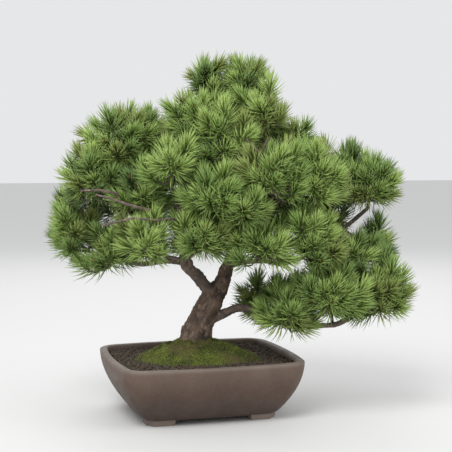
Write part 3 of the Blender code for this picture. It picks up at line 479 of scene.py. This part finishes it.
def soil_material(mottling):
    """Damp granules of fired clay, bark and grit."""
    mat, shader = new_material("damp_granules", 0.92)
    n = Nodes(mat.node_tree)
    grains = n.ramp(n.cells(240, output="Color"),
                    [(0.2, (0.030, 0.019, 0.013)), (0.5, (0.075, 0.047, 0.031)),
                     (0.8, (0.17, 0.115, 0.080))])
    damp = n.group(mottling, Scale=25, Detail=4)
    n.join(n.mix(damp.outputs[0], grains, (0.05, 0.045, 0.03)), shader.inputs["Base Color"])
    grit = n.group(mottling, Scale=700, Detail=4)
    n.join(n.bump(grit.outputs[0], 0.6, 1.0 * MM), shader.inputs["Normal"])
    return mat


def moss_material(name, patches, dark, light):
    """Moss between two greens."""
    mat, shader = new_material(name, 0.95)
    n = Nodes(mat.node_tree)
    group = n.group(patches, Dark=(*dark, 1), Light=(*light, 1))
    n.join(group.outputs["Color"], shader.inputs["Base Color"])
    n.join(group.outputs["Normal"], shader.inputs["Normal"])
    return mat


def needle_materials():
    """One plain green for each tone of the sprays, the tones being painted light and painted shade."""
    mats = []
    for name, colour in NEEDLE_COLOURS.items():
        mat, shader = new_material(name, 0.5, colour)
        shader.inputs["Specular IOR Level"].default_value = 0.4
        mats.append(mat)
    return mats


# Meshes

def link_mesh(name, mesh, mats):
    for mat in mats:
        mesh.materials.append(mat)
    obj = bpy.data.objects.new(name, mesh)
    bpy.context.scene.collection.objects.link(obj)
    return obj


def mesh_object(name, verts, faces, mats):
    """A mesh object at the origin with outward faces."""
    mesh = bpy.data.meshes.new(name)
    mesh.from_pydata([tuple(v) for v in verts], [], faces)
    bm = bmesh.new()
    bm.from_mesh(mesh)
    bmesh.ops.recalc_face_normals(bm, faces=bm.faces)
    bm.to_mesh(mesh)
    bm.free()
    return link_mesh(name, mesh, mats)


def array_object(name, parts, mats):
    """A mesh object from many small (vertices, triangles, material slot) parts."""
    starts = np.cumsum([0] + [len(verts) for verts, _, _ in parts])
    verts = np.concatenate([verts for verts, _, _ in parts])
    faces = np.concatenate([faces + start for (_, faces, _), start in zip(parts, starts)])
    slots = np.concatenate([np.full(len(faces), slot) for _, faces, slot in parts])
    mesh = bpy.data.meshes.new(name)
    mesh.vertices.add(len(verts))
    mesh.vertices.foreach_set("co", np.ascontiguousarray(verts, dtype=np.float32).ravel())
    mesh.loops.add(faces.size)
    mesh.loops.foreach_set("vertex_index", np.ascontiguousarray(faces, dtype=np.int32).ravel())
    mesh.polygons.add(len(faces))
    mesh.polygons.foreach_set("loop_start", np.arange(0, faces.size, 3, dtype=np.int32))
    mesh.polygons.foreach_set("material_index", np.ascontiguousarray(slots, dtype=np.int32))
    mesh.update(calc_edges=True)
    mesh.validate()
    return link_mesh(name, mesh, mats)


def loft(rings):
    """Closed skin over rings of equal count, capped at both ends."""
    count = len(rings[0])
    verts = [v for ring in rings for v in ring]
    faces = [tuple(reversed(range(count))), tuple(range(len(verts) - count, len(verts)))]
    for row in range(len(rings) - 1):
        for k in range(count):
            a = row * count + k
            b = row * count + (k + 1) % count
            faces.append((a, b, b + count, a + count))
    return verts, faces


def join_meshes(parts):
    """Joins (vertices, faces) pairs into one."""
    verts, faces = [], []
    for part_verts, part_faces in parts:
        start = len(verts)
        verts += part_verts
        faces += [tuple(start + k for k in face) for face in part_faces]
    return verts, faces


def smooth(obj, angle):
    obj.data.shade_smooth()
    obj.data.set_sharp_from_angle(angle=math.radians(angle))
    return obj


def spin_matrix(spin):
    """Turn about the upright axis."""
    return np.array([[math.cos(spin), -math.sin(spin), 0], [math.sin(spin), math.cos(spin), 0],
                     [0, 0, 1]])


# Pot

def pot_outline(height, inset):
    """The pot's bowed rectangle at a height, drawn in by an inset."""
    share = ((RIM_HEIGHT - height) / (RIM_HEIGHT - FOOT_HEIGHT)) ** 2
    half = [r + (b - r) * share - inset for r, b in zip(RIM_HALF, BASE_HALF)]
    bow = [r + (b - r) * share for r, b in zip(RIM_BOW, BASE_BOW)]
    corner = max(RIM_CORNER + (BASE_CORNER - RIM_CORNER) * share - inset, SMALLEST_CORNER)
    centres = [(half[0] - corner, half[1] - corner), (corner - half[0], half[1] - corner),
               (corner - half[0], corner - half[1]), (half[0] - corner, corner - half[1])]
    arcs = []
    for quarter, (cx, cy) in enumerate(centres):
        for step in range(CORNER_STEPS + 1):
            turn = (quarter + step / CORNER_STEPS) * math.pi / 2
            arcs.append((cx + corner * math.cos(turn), cy + corner * math.sin(turn)))
    points = []
    for k, (x, y) in enumerate(arcs):
        points.append((x, y))
        if k % (CORNER_STEPS + 1) == CORNER_STEPS:
            nx, ny = arcs[(k + 1) % len(arcs)]
            for step in range(1, SIDE_STEPS):
                points.append((x + (nx - x) * step / SIDE_STEPS, y + (ny - y) * step / SIDE_STEPS))
    ring = []
    for x, y in points:
        bow_x = bow[0] * (1 - (y / half[1]) ** 2) * min(1, abs(x) / half[0]) ** BOW_POWER
        bow_y = bow[1] * (1 - (x / half[0]) ** 2) * min(1, abs(y) / half[1]) ** BOW_POWER
        ring.append(Vector((x + math.copysign(bow_x, x) + POT_CENTRE.x,
                            y + math.copysign(bow_y, y) + POT_CENTRE.y, height)))
    return ring


def pot_profile():
    """Heights and insets of the pot's rings: up the outside, over the rim and down the inside."""
    wall_foot = FOOT_HEIGHT + 3 * MM
    wall_rise = RIM_HEIGHT - 4 * MM - wall_foot
    outside = [(FOOT_HEIGHT, 2.5 * MM), (FOOT_HEIGHT + 1 * MM, 0.8 * MM)]
    outside += [(wall_foot + k * wall_rise / WALL_STEPS, 0) for k in range(WALL_STEPS + 1)]
    rim = [(RIM_HEIGHT - 1.6 * MM, 0.3 * MM), (RIM_HEIGHT - 0.5 * MM, 1.2 * MM),
           (RIM_HEIGHT, 2.8 * MM), (RIM_HEIGHT, WALL - 3 * MM),
           (RIM_HEIGHT - 0.6 * MM, WALL - 1.2 * MM), (RIM_HEIGHT - 2 * MM, WALL - 0.3 * MM)]
    inside = [(height, WALL) for height in (86 * MM, 74 * MM, 52 * MM, 34 * MM,
                                            FOOT_HEIGHT + FLOOR_THICKNESS)]
    return outside + rim + inside


def make_pot_walls():
    """A filled ring with the base's outline, extruded up the outside and down the inside."""
    rings = [pot_outline(height, inset) for height, inset in pot_profile()]
    bpy.ops.object.select_all(action="DESELECT")
    bpy.ops.mesh.primitive_circle_add(vertices=len(rings[0]), fill_type="NGON")
    pot = bpy.context.object
    bpy.ops.object.mode_set(mode="EDIT")
    for k, ring in enumerate(rings):
        if k:
            bpy.ops.mesh.extrude_region_move()
        mesh = bmesh.from_edit_mesh(pot.data)
        cap = next(face for face in mesh.faces if face.select)
        for vert, place in zip(cap.verts, ring):
            vert.co = place
        bmesh.update_edit_mesh(pot.data)
    bpy.ops.mesh.select_all(action="SELECT")
    bpy.ops.mesh.normals_make_consistent(inside=False)
    bpy.ops.object.mode_set(mode="OBJECT")
    return pot


def select_verts(obj, test):
    """Selects, in edit mode, the vertices that pass a test, and the edges between them."""
    bpy.ops.mesh.select_all(action="DESELECT")
    mesh = bmesh.from_edit_mesh(obj.data)
    for vert in mesh.verts:
        vert.select = test(vert.co)
    mesh.select_flush(True)
    bmesh.update_edit_mesh(obj.data)


def make_foot():
    """One foot, about the pot's middle: a block with its outer corner cut, drawn in toward the table."""
    middle = (BASE_HALF[0] - MM - FOOT_LENGTH / 2, BASE_HALF[1] - MM - FOOT_DEPTH / 2)
    tall = FOOT_HEIGHT + FOOT_SUNK
    bpy.ops.object.select_all(action="DESELECT")
    bpy.ops.mesh.primitive_cube_add(size=1, location=(*middle, tall / 2),
                                    scale=(FOOT_LENGTH, FOOT_DEPTH, tall))
    foot = bpy.context.object
    bpy.ops.object.transform_apply()
    bpy.ops.object.mode_set(mode="EDIT")
    select_verts(foot, lambda co: co.x > middle[0] and co.y > middle[1])
    bpy.ops.mesh.bevel(offset=FOOT_CHAMFER, offset_type="OFFSET", segments=1, affect="EDGES")
    for height, _ in FOOT_TAPER[1:]:
        bpy.ops.mesh.select_all(action="SELECT")
        bpy.ops.mesh.bisect(plane_co=(0, 0, height), plane_no=(0, 0, 1))
    for height, share in FOOT_TAPER:
        select_verts(foot, lambda co: abs(co.z - height) < 0.1 * MM)
        bpy.ops.transform.resize(value=(share, share, 1), center_override=(*middle, height))
    bpy.ops.object.mode_set(mode="OBJECT")
    return foot


def put_in_order(obj):
    """Sorts a mesh by place, since operators leave its vertices and faces in any order."""
    mesh = bmesh.new()
    mesh.from_mesh(obj.data)
    mesh.verts.sort(key=lambda vert: vert.co.dot(SORT_WAY))
    mesh.faces.sort(key=lambda face: face.calc_center_median().dot(SORT_WAY))
    mesh.to_mesh(obj.data)
    mesh.free()


def make_pot(mat):
    """The walls and four feet, the feet copied and mirrored from the first, as one piece."""
    pot = make_pot_walls()
    foot = make_foot()
    feet = [foot]
    for side_x, side_y in ((-1, 1), (-1, -1), (1, -1)):
        copy = foot.copy()
        copy.data = foot.data.copy()
        copy.scale = (side_x, side_y, 1)
        bpy.context.scene.collection.objects.link(copy)
        feet.append(copy)
    bpy.ops.object.select_all(action="DESELECT")
    for obj in feet:
        obj.location = (*POT_CENTRE, 0)
        obj.select_set(True)
    bpy.context.view_layer.objects.active = foot
    bpy.ops.object.transform_apply()
    pot.select_set(True)
    bpy.context.view_layer.objects.active = pot
    bpy.ops.object.join()
    bpy.ops.object.mode_set(mode="EDIT")
    bpy.ops.mesh.select_all(action="SELECT")
    bpy.ops.mesh.normals_make_consistent(inside=False)
    bpy.ops.object.mode_set(mode="OBJECT")
    put_in_order(pot)
    pot.name = pot.data.name = "pot_body"
    pot.data.materials.append(mat)
    place_piece(smooth(pot, 50), "stoneware", "pot")


# Soil and moss

def grain_shape():
    """Vertices and faces of a round grain of radius 1."""
    bpy.ops.object.select_all(action="DESELECT")
    bpy.ops.mesh.primitive_ico_sphere_add(subdivisions=1, radius=1)
    grain = bpy.context.object
    verts = np.array([v.co[:] for v in grain.data.vertices])
    faces = np.array([face.vertices[:] for face in grain.data.polygons])
    bpy.data.objects.remove(grain)
    return verts, faces


def make_grains(mat):
    """Loose granules over the top of the soil, kept inside the pot's wall."""
    draw = random.Random(3)
    edge = pot_outline(SOIL_TOP, WALL + GRAIN_MARGIN)
    half = (max(v.x for v in edge) - POT_CENTRE.x, max(v.y for v in edge) - POT_CENTRE.y)
    shape, faces = grain_shape()
    grains = []
    while len(grains) < GRAIN_COUNT:
        x, y = draw.uniform(-1, 1), draw.uniform(-1, 1)
        if abs(x) ** GRAIN_PLAN_POWER + abs(y) ** GRAIN_PLAN_POWER > 0.9:
            continue
        size = draw.uniform(*GRAIN_SIZE)
        stretch = np.array([draw.uniform(0.7, 1.25) for _ in range(3)]) * size
        turn = spin_matrix(draw.uniform(0, math.tau))
        rough = 1 + 0.18 * np.array([draw.uniform(-1, 1) for _ in shape])[:, None]
        place = np.array((POT_CENTRE.x + x * half[0], POT_CENTRE.y + y * half[1],
                          SOIL_TOP + draw.uniform(-0.3, 0.9) * size))
        grains.append(((shape * rough * stretch) @ turn.T + place, faces, 0))
    place_piece(array_object("soil_grains", grains, [mat]), "soil")


def moss_height(share):
    """Height of the mound over the soil, in mm, at a share of the way out."""
    rise = MOSS_EDGE + (MOSS_RISE - MOSS_EDGE) * (1 - share ** 1.2)
    return rise * min(1.0, (1.0 - share) * 9 + 0.12)


def moss_point(share, turn, lift=0.0):
    """A point on the mound: a wavy oval with cushions, lifted by some mm."""
    wobble = 1 + 0.05 * math.sin(3 * turn + 1) + 0.03 * math.sin(7 * turn)
    across = MOSS_CENTRE[0] + MOSS_HALF[0] * share * wobble * math.cos(turn)
    out = MOSS_CENTRE[1] + MOSS_HALF[1] * share * wobble * math.sin(turn)
    spot = view_point(across, out, SOIL_TOP / MM + moss_height(share) + lift)
    cushion = (noise.fractal(spot * 60, 0.55, 2.1, 4) * MOSS_CUSHION
               + noise.noise(spot * 300) * MOSS_GRAIN)
    spot.z += cushion * MM * min(1.0, (1.0 - share) * 6)
    return spot


def moss_tuft(draw):
    """A small leaning pyramid that stands in the mound."""
    share, turn = math.sqrt(draw.uniform(0.03, 1.0)), draw.uniform(0, math.tau)
    root = moss_point(share, turn, -TUFT_SUNK)
    lean = Vector((draw.gauss(0, 0.5), draw.gauss(0, 0.5), 1)).normalized()
    height = draw.uniform(*TUFT_HEIGHT) * MM
    radius = draw.uniform(*TUFT_RADIUS) * MM
    spin = draw.uniform(0, math.tau)
    corners = []
    for k in range(4):
        turn = spin + k * math.tau / 4
        corners.append(root + Vector((math.cos(turn), math.sin(turn), 0)) * radius)
    return np.array([v[:] for v in corners + [root + lean * height]])


def make_moss(mats):
    """The mound, closed under the soil's top, and tufts all over it."""
    rings = [[moss_point(ring / MOSS_RINGS, math.tau * k / MOSS_SIDES) for k in range(MOSS_SIDES)]
             for ring in range(1, MOSS_RINGS + 1)]
    rings.append([Vector((edge.x, edge.y, SOIL_TOP - MM)) for edge in rings[-1]])
    mound = smooth(mesh_object("moss_mound", *loft(rings), [mats[0]]), 60)
    place_piece(mound, "moss", "moss")

    draw = random.Random(11)
    faces = np.array(TUFT_FACES)
    tufts = [(moss_tuft(draw), faces, draw.choice((0, 1, 1, 2))) for _ in range(MOSS_TUFTS)]
    place_piece(array_object("moss_tufts", tufts, mats), "moss")


# Limbs

def smooth_path(points, spacing):
    """Places and radii along a curve through a limb's points, evenly close together."""
    control = [(view_point(*p[:3]), p[3] * MM / 2) for p in points]
    places, radii = [], []
    last = len(control) - 1
    for k in range(last):
        (p0, _), (p1, r1), (p2, r2), (p3, _) = (control[min(max(j, 0), last)]
                                                for j in (k - 1, k, k + 1, k + 2))
        steps = max(2, round((p2 - p1).length / spacing))
        for step in range(steps + (k == last - 1)):
            t = step / steps
            places.append(0.5 * (2 * p1 + (p2 - p0) * t + (2 * p0 - 5 * p1 + 4 * p2 - p3) * t * t
                                 + (3 * p1 - p0 - 3 * p2 + p3) * t ** 3))
            radii.append(r1 + (r2 - r1) * t)
    return places, radii


def path_spokes(places, side, sides, upright_foot=False):
    """Spokes square to a path at each of its places, with no twist from one to the next."""
    rows = []
    for k in range(len(places)):
        along = (places[min(k + 1, len(places) - 1)] - places[max(k - 1, 0)]).normalized()
        if upright_foot and k == 0:
            along = Vector((0, 0, 1))
        side = (side - along * side.dot(along)).normalized()
        across = along.cross(side)
        rows.append([side * math.cos(math.tau * j / sides) + across * math.sin(math.tau * j / sides)
                     for j in range(sides)])
    return rows


def tube(places, radii, sides):
    """A plain round skin along a path."""
    rows = path_spokes(places, TWIG_SIDE, sides)
    return loft([[place + spoke * radius for spoke in row]
                 for place, radius, row in zip(places, radii, rows)])


def root_swell(turn, height):
    """How far the trunk's foot spreads into its roots, as a share of its radius."""
    low = max(0.0, 1 - (height - SOIL_TOP) / ROOT_SWELL_HEIGHT)
    ridges = 0.6 * math.cos(3 * turn + 0.6) + 0.4 * math.cos(5 * turn + 2.0)
    return 1 + ROOT_SWELL * low * ridges


def bark_relief(spot, radius):
    """Height of the bark's plates over a limb's round, in metres."""
    warp = noise.noise_vector(spot * 60) * 0.004
    flat = Vector((spot.x, spot.y, spot.z * 0.6))
    near, _ = noise.voronoi(flat * PLATES_PER_METRE + warp * PLATES_PER_METRE)
    edge = min(1.0, (near[1] - near[0]) * 2.4)
    lumps = noise.fractal(spot * 30, 0.8, 2.0, 4)
    rough = noise.noise(spot * 420)
    depth = min(1.0, radius / FULL_RELIEF_RADIUS)
    return depth * MM * (PLATE_DEPTH * (edge - 0.7) + LUMP_DEPTH * lumps + GRAIN_DEPTH * rough)


def limb_skin(points, sides, spacing, flare=False):
    """A limb's round with its bark, and with swelling roots where it flares."""
    places, radii = smooth_path(points, spacing)
    rings = []
    for place, radius, row in zip(places, radii, path_spokes(places, Vector((1, 0, 0)), sides, flare)):
        ring = []
        for j, spoke in enumerate(row):
            swell = root_swell(math.tau * j / sides, place.z) if flare else 1.0
            spot = place + spoke * (radius * swell)
            ring.append(spot + spoke * bark_relief(spot, radius))
        rings.append(ring)
    return loft(rings)


def make_limbs(old_bark, young_bark):
    """The trunk's skin and one joined skin of all the boughs."""
    noise.seed_set(BARK_SEED)
    trunk_skin = limb_skin(TRUNK, TRUNK_SIDES, TRUNK_SPACING, flare=True)
    trunk = smooth(mesh_object("trunk_bark", *trunk_skin, [old_bark]), 70)
    place_piece(trunk, "bark", "trunk")
    skins = [limb_skin(points, BOUGH_SIDES, BOUGH_SPACING) for points in BOUGHS.values()]
    boughs = smooth(mesh_object("bough_bark", *join_meshes(skins), [young_bark]), 70)
    place_piece(boughs, "bark", *BOUGHS)


def make_bare_twigs(mat):
    """Bare twigs that cross in front of the foliage, each from the nearest bough."""
    spots = [place for points in BOUGHS.values() for place in smooth_path(points, 4 * MM)[0]]
    skins = []
    for line in BARE_TWIGS:
        points = [view_point(*point) for point in line]
        foot = min(spots, key=lambda spot: (spot - points[0]).length)
        points.insert(0, foot)
        radii = [BARE_RADIUS * (1 - 0.5 * k / (len(points) - 1)) for k in range(len(points))]
        skins.append(tube(points, radii, 8))
    twigs = smooth(mesh_object("bare_twigs", *join_meshes(skins), [mat]), 60)
    place_piece(twigs, "bark")


def limb_at(places, share):
    """The point at a share of the way along a limb."""
    lengths = [0.0]
    for a, b in zip(places, places[1:]):
        lengths.append(lengths[-1] + (b - a).length)
    want = share * lengths[-1]
    k = 0
    while k < len(places) - 2 and lengths[k + 1] < want:
        k += 1
    return places[k].lerp(places[k + 1], (want - lengths[k]) / (lengths[k + 1] - lengths[k]))


# Foliage

class Mass:
    """The space of one mass of foliage, with flat walls between it and its neighbours."""

    def __init__(self, name, spec):
        centre, half, self.limb, self.share = spec
        self.name = name
        self.centre = view_point(*centre)
        self.half = Vector(half) * MM
        self.walls = []

    def world(self, local):
        return self.centre + Vector(turn_view(local))

    def reach(self, way):
        """How far the mass's ellipsoid reaches toward a direction."""
        return Vector([a * b for a, b in zip(Vector(turn_view(way)), self.half)]).length

    def spread(self, point):
        """How far out a point lies, as a share of the way to the mass's ellipsoid."""
        local = Vector(turn_view(point - self.centre))
        return Vector([a / b for a, b in zip(local, self.half)]).length

    def add_wall(self, other):
        way = other.centre - self.centre
        distance = way.length
        way.normalize()
        mine, theirs = self.reach(way), other.reach(way)
        self.walls.append((way, (self.centre + way * distance * mine / (mine + theirs)).dot(way)))

    def room(self, point):
        """Distance from a point to the nearest wall."""
        return min(limit - way.dot(point) for way, limit in self.walls)


def spray_template(seed):
    """Vertices and triangles of the needles round one upright shoot that starts at the origin."""
    rng = np.random.default_rng(seed)
    along = np.sort(rng.uniform(0.0, 1.0, NEEDLES) ** 0.85)
    turn = np.arange(NEEDLES) * GOLDEN_TURN + rng.uniform(-0.4, 0.4, NEEDLES)
    lean = np.radians(LEAN_LOW + (LEAN_TOP - LEAN_LOW) * along ** 0.9
                      + rng.normal(0, LEAN_SPREAD, NEEDLES))
    length = NEEDLE_LENGTH * rng.uniform(*NEEDLE_SHARES, NEEDLES) * (1 - NEEDLE_TOP_SHORTER * along)
    axis = np.array([0.0, 0.0, 1.0])
    radial = np.stack([np.cos(turn), np.sin(turn), np.zeros(NEEDLES)], axis=1)
    beside = np.stack([-np.sin(turn), np.cos(turn), np.zeros(NEEDLES)], axis=1)
    way = axis * np.cos(lean)[:, None] + radial * np.sin(lean)[:, None]
    root = axis * (along * SHOOT_LENGTH)[:, None] + radial * SHOOT_RADIUS * 0.5
    sway = rng.uniform(-NEEDLE_SWAY, NEEDLE_SWAY, NEEDLES)[:, None]
    bent = way + axis * NEEDLE_RISE + beside * sway
    bent /= np.linalg.norm(bent, axis=1)[:, None]
    middle = root + way * (length * 0.5)[:, None]
    tip = middle + bent * (length * 0.5)[:, None]
    rise = np.cross(way, beside)
    verts = []
    for place, radius in ((root, NEEDLE_RADIUS * 0.9), (middle, NEEDLE_RADIUS)):
        for k in range(3):
            angle = k * math.tau / 3
            verts.append(place + (beside * math.cos(angle) + rise * math.sin(angle)) * radius)
    verts = np.stack(verts + [tip], axis=1)
    faces = [(2, 1, 0)]
    for k in range(3):
        n = (k + 1) % 3
        faces += [(k, n, n + 3), (k, n + 3, k + 3), (k + 3, n + 3, 6)]
    faces = np.array(faces)[None] + (np.arange(NEEDLES) * 7)[:, None, None]
    return verts.reshape(-1, 3), faces.reshape(-1, 3)


def place_shoots(mass, masses, draw, taken):
    """Shoots of one mass by the source's rule: each as far as can be from those before it."""
    volume = 4 / 3 * math.pi * mass.half.x * mass.half.y * mass.half.z * 1000
    shoots = []
    for _ in range(max(FEWEST_SHOOTS, round(volume * SHOOTS_PER_LITRE))):
        best, best_gap = None, SHOOT_SPACING
        for _ in range(CANDIDATES):
            v = Vector((draw.gauss(0, 1), draw.gauss(0, 1), draw.gauss(0.2, 0.9))).normalized()
            if v.z < LOWEST_AIM:
                continue
            place = draw.uniform(TOP_PLACE[0], FILL_PLACE[1])
            top = mass.world(Vector([a * b for a, b in zip(v, mass.half)]) * place)
            if mass.room(top) < MM:
                continue
            lonely = all(other is mass or other.spread(top) > FILL_NEAR for other in masses)
            if place > FILL_PLACE[0] and (lonely or mass.centre.z > FILL_HIGHEST):
                continue
            gap = min(((top - other).length for other in taken), default=1.0)
            if gap > best_gap:
                way = (mass.world(v) - mass.centre).normalized() * draw.uniform(0.5, 1.0)
                way += Vector((draw.gauss(0, 0.15), draw.gauss(0, 0.15), UPWARD))
                best, best_gap = (top, way.normalized()), gap
        if best:
            taken.append(best[0])
            shoots.append(best)
    return shoots


def twig_parts(mass, shoots, foot, draw):
    """The mass's stem, a forking twig to each shoot, and the shoots' own wood and buds."""
    hub = mass.centre - Vector((0, 0, HUB_DROP * mass.half.z))
    rise = Vector((0, 0, 3 * MM))
    stem = [foot, foot.lerp(hub, 0.3) + rise * 0.5, foot.lerp(hub, 0.65) + rise, hub,
            hub.lerp(mass.centre, 0.8)]
    wood = [tube(stem, [radius * MM for radius in STEM_RADII], 7)]
    radii = [TWIG_RADIUS * 1.15, TWIG_RADIUS, TWIG_RADIUS * 0.9, SHOOT_RADIUS, SHOOT_RADIUS * 0.7]
    buds = []
    for top, way in shoots:
        base = top - way * SHOOT_LENGTH
        fork = hub.lerp(mass.centre, draw.uniform(0.0, 0.7)).lerp(base, 0.35)
        start = hub.lerp(mass.centre, draw.uniform(0.0, 0.6))
        knee = fork.lerp(base, 0.55) - way * 5 * MM + Vector([draw.gauss(0, 1.5 * MM)
                                                              for _ in range(3)])
        wood.append(tube([start, fork, knee, base, base + way * SHOOT_LENGTH * 0.95], radii, 6))
        buds.append(tube([top + way * place * MM for place in BUD_PLACES],
                         [radius * MM for radius in BUD_RADII], 6))
    return wood, buds


def turn_to(way, spin):
    """Rotation that stands an upright spray along a direction."""
    return np.array(Vector((0, 0, 1)).rotation_difference(way).to_matrix()) @ spin_matrix(spin)


def pick_tone(draw, top, way):
    """Painted light and shade: brighter greens are likelier on sprays that face up and out of the crown
    toward the front, darker greens on those behind and facing down.
    """
    light = 0.5 + 4.0 * turn_view(top)[1] + 0.25 * way.z + draw.gauss(0, 0.28)
    if light > 1.0:
        return draw.choice((0, 0, 1))
    if light > 0.65:
        return draw.choice((1, 2, 3))
    if light > 0.3:
        return draw.choice((2, 3, 4))
    return draw.choice((4, 5))


def region_of(mass_name):
    start = mass_name.removeprefix("foliage_")
    return next(region for region, words in REGIONS.items() if start.startswith(words))


def grow_mass(mass, masses, templates, foot, draw, taken):
    """One mass's sprays, twigs and buds, its sprays moved to stay in the solids' box."""
    low = np.array(cad_bounds[0]) + BOX_MARGIN
    high = np.array(cad_bounds[1]) - BOX_MARGIN
    sprays, shoots = [], []
    for top, way in place_shoots(mass, masses, draw, taken):
        verts, faces = draw.choice(templates)
        verts = verts @ turn_to(way, draw.uniform(0, math.tau)).T * draw.uniform(*SPRAY_SIZES)
        base = np.array(top - way * SHOOT_LENGTH)
        over = np.maximum(0, (verts + base).max(axis=0) - high)
        under = np.maximum(0, low - (verts + base).min(axis=0))
        base = base - over + under
        shoots.append((Vector(base) + way * SHOOT_LENGTH, way))
        sprays.append((verts + base, faces, pick_tone(draw, top, way)))
    return sprays, *twig_parts(mass, shoots, foot, draw)


def make_foliage(needle_mats, young_bark, bud_mat):
    """Grows every mass and joins them by region into needles, twigs and buds."""
    masses = [Mass(name, spec) for name, spec in MASSES.items()]
    for mass in masses:
        for other in masses:
            if other is not mass:
                mass.add_wall(other)
    paths = {name: smooth_path(points, 4 * MM)[0] for name, points in BOUGHS.items()}
    paths["trunk"] = smooth_path(TRUNK, 4 * MM)[0]
    templates = [spray_template(seed) for seed in range(SPRAY_KINDS)]
    draw = random.Random(5)
    taken, regions = [], {}
    for mass in masses:
        region = regions.setdefault(region_of(mass.name), ([], [], []))
        foot = limb_at(paths[mass.limb], mass.share)
        for kept, new in zip(region, grow_mass(mass, masses, templates, foot, draw, taken)):
            kept += new
    for region, (sprays, wood, buds) in regions.items():
        nodes = [name for name in MASSES if region_of(name) == region]
        needles = array_object("needles_" + region, sprays, needle_mats)
        twigs = smooth(mesh_object("twigs_" + region, *join_meshes(wood), [young_bark]), 60)
        tips = smooth(mesh_object("buds_" + region, *join_meshes(buds), [bud_mat]), 60)
        for piece, slot in ((needles, "needles"), (twigs, "bark"), (tips, "bark")):
            place_piece(piece, slot, *nodes)


# Studio

def make_studio():
    """Camera, pale floor, world and soft lights."""
    camera = bpy.data.objects.new("camera", bpy.data.cameras.new("camera"))
    bpy.context.scene.collection.objects.link(camera)
    camera.location = (CAMERA_PLACE[0] + POT_CENTRE.x, CAMERA_PLACE[1] + POT_CENTRE.y,
                       CAMERA_PLACE[2])
    camera.rotation_euler = (math.pi / 2 - CAMERA_DOWN, 0, -VIEW_TURN)
    camera.data.lens = CAMERA_LENS
    camera.data.sensor_width = CAMERA_SENSOR
    bpy.context.scene.camera = camera

    mat, _ = new_material("studio_floor", 0.8, (0.70, 0.70, 0.69))
    bpy.ops.object.select_all(action="DESELECT")
    bpy.ops.mesh.primitive_plane_add(size=FLOOR_SIZE, location=(0, 0, -0.2 * MM))
    floor = bpy.context.object
    floor.name = "studio_floor"
    floor.data.materials.append(mat)

    world = bpy.data.worlds.new("studio")
    world.use_nodes = True
    world.node_tree.nodes["Background"].inputs["Color"].default_value = (0.93, 0.94, 0.95, 1)
    world.node_tree.nodes["Background"].inputs["Strength"].default_value = 0.85
    bpy.context.scene.world = world
    for name, place, size, power in AREA_LIGHTS:
        light = bpy.data.objects.new(name, bpy.data.lights.new(name, "AREA"))
        light.data.size = size
        light.data.energy = power
        light.location = place
        light.rotation_euler = (LIGHT_AIM - Vector(place)).to_track_quat("-Z", "Y").to_euler()
        bpy.context.scene.collection.objects.link(light)
    bpy.context.scene.view_settings.view_transform = "Standard"


mottling = mottling_group()
bark_plates = bark_group()
moss_patches = moss_group()
old_bark = bark("old_bark", bark_plates, 0.15)
young_bark = bark("young_bark", bark_plates, 0.5)
granules = soil_material(mottling)
moss_mats = [moss_material("moss_deep", moss_patches, (0.020, 0.026, 0.006), (0.085, 0.115, 0.014)),
             moss_material("moss_green", moss_patches, (0.055, 0.075, 0.012), (0.20, 0.25, 0.030)),
             moss_material("moss_pale", moss_patches, (0.15, 0.16, 0.03), (0.40, 0.41, 0.10))]

make_studio()
make_pot(stoneware(mottling))
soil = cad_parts["soil"]
soil.data.materials.clear()
soil.data.materials.append(granules)
make_grains(granules)
make_moss(moss_mats)
make_limbs(old_bark, young_bark)
make_bare_twigs(young_bark)
make_foliage(needle_materials(), young_bark, bud_scales(mottling))
